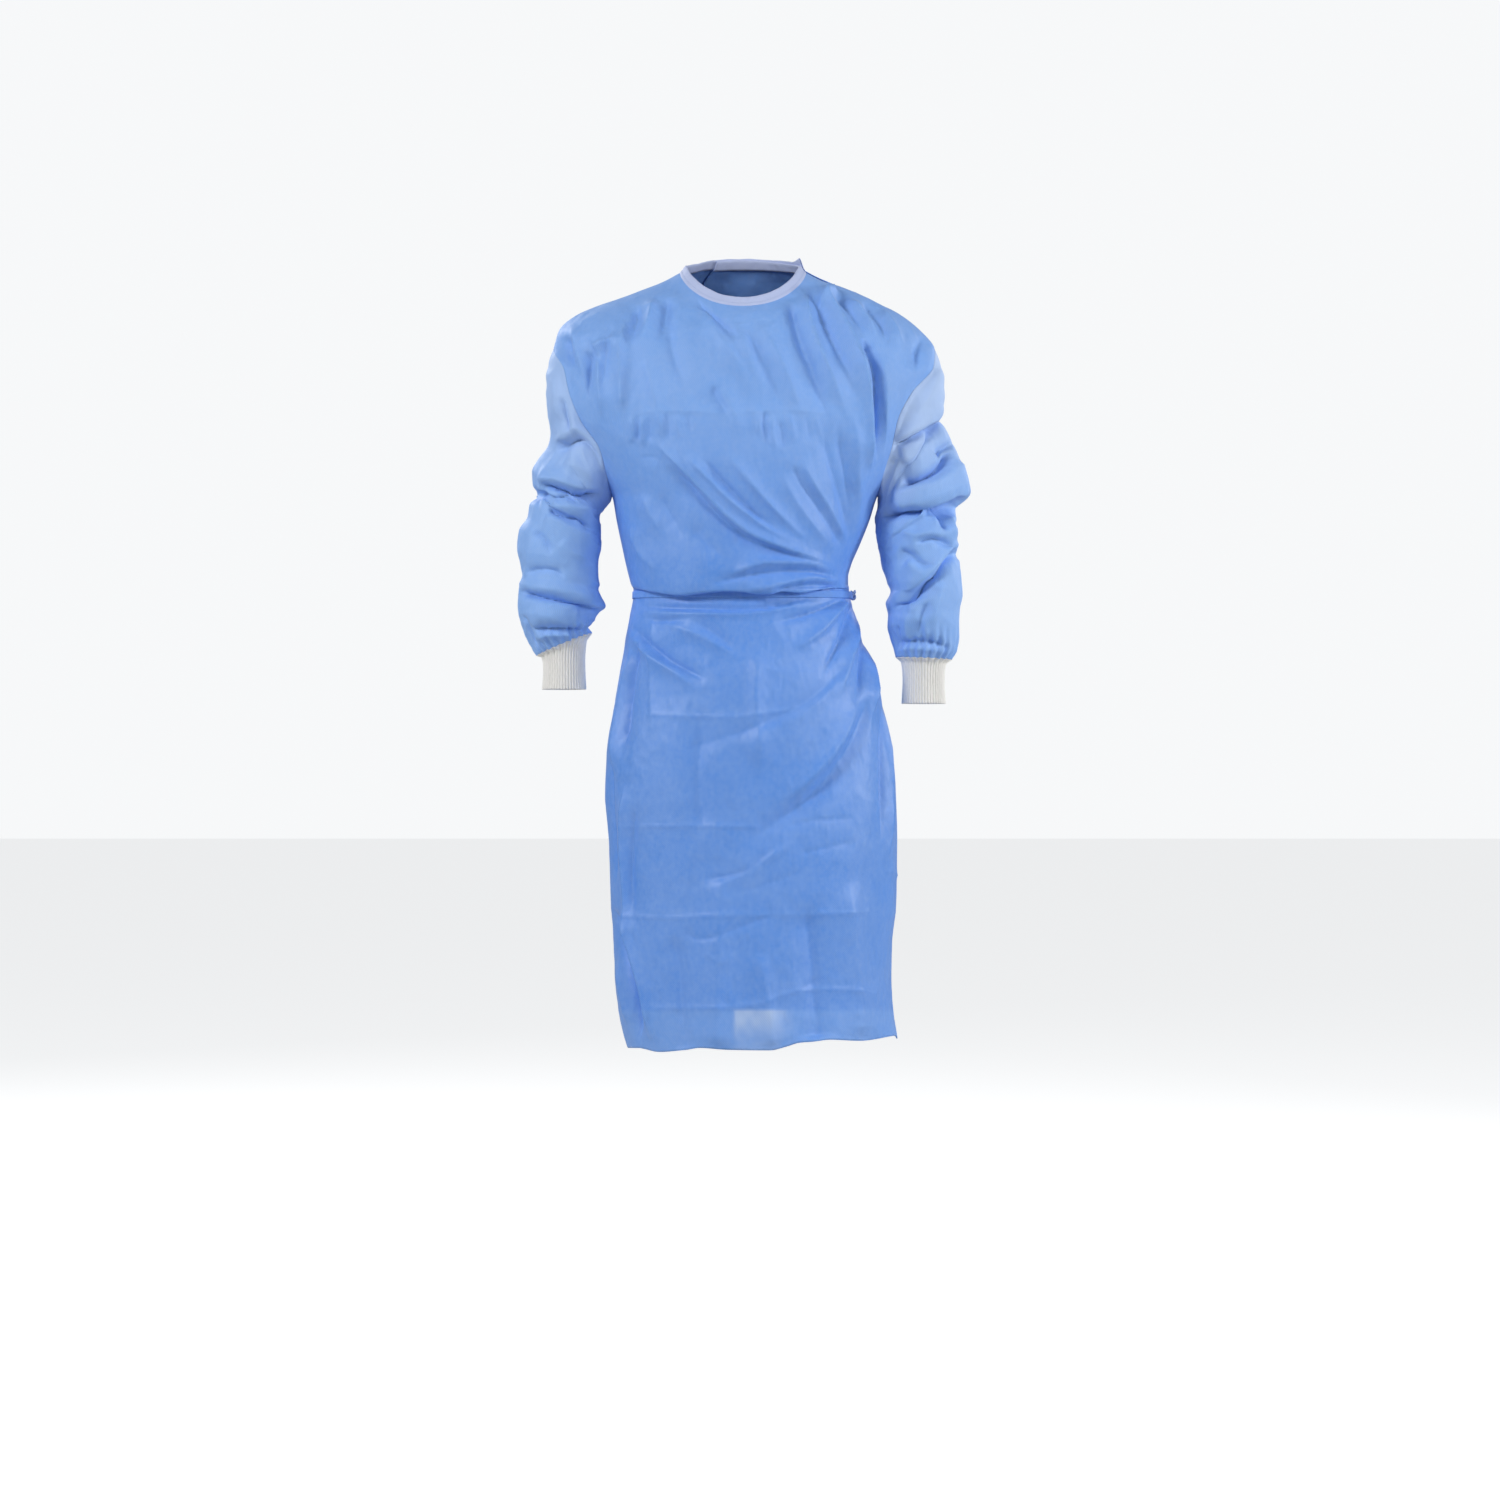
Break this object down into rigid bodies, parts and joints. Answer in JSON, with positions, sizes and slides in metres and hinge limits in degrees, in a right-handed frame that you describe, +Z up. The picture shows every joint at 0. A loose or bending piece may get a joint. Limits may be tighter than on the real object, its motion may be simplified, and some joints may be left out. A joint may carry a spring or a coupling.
{
  "type": "surgical gown",
  "caption": "Long-sleeved wrap-back surgical gown in worn, hollow form, with knitted cuffs, bound round neck and a tied waist belt.",
  "frame": {"origin": "between the shoulders, midway between the sides of the neck opening, on the line of the shoulder seams", "axes": "+Z up, the gown's front faces -Y, the wearer's left side is towards +X"},
  "size_m": [0.619, 0.2873, 1.0821],
  "materials": {
    "gown_cloth": "smooth blue nonwoven with a soft satin sheen, film backed over the front",
    "sleeve_cloth": "paler blue nonwoven, crisp folds",
    "cuff_knit": "white ribbed knit, matte",
    "binding_tape": "pale translucent nonwoven tape",
    "belt_cloth": "folded blue nonwoven strip"
  },
  "bodies": {
    "root": {"front": "gown_cloth", "back_wrap": "gown_cloth", "back_under": "gown_cloth", "sleeve_right": "sleeve_cloth", "sleeve_left": "sleeve_cloth", "cuff_right": "cuff_knit", "cuff_left": "cuff_knit", "neck_binding": "binding_tape", "belt": "belt_cloth", "belt_knot": "belt_cloth", "belt_end_long": "belt_cloth", "belt_end_short": "belt_cloth"}
  },
  "joints": []
}
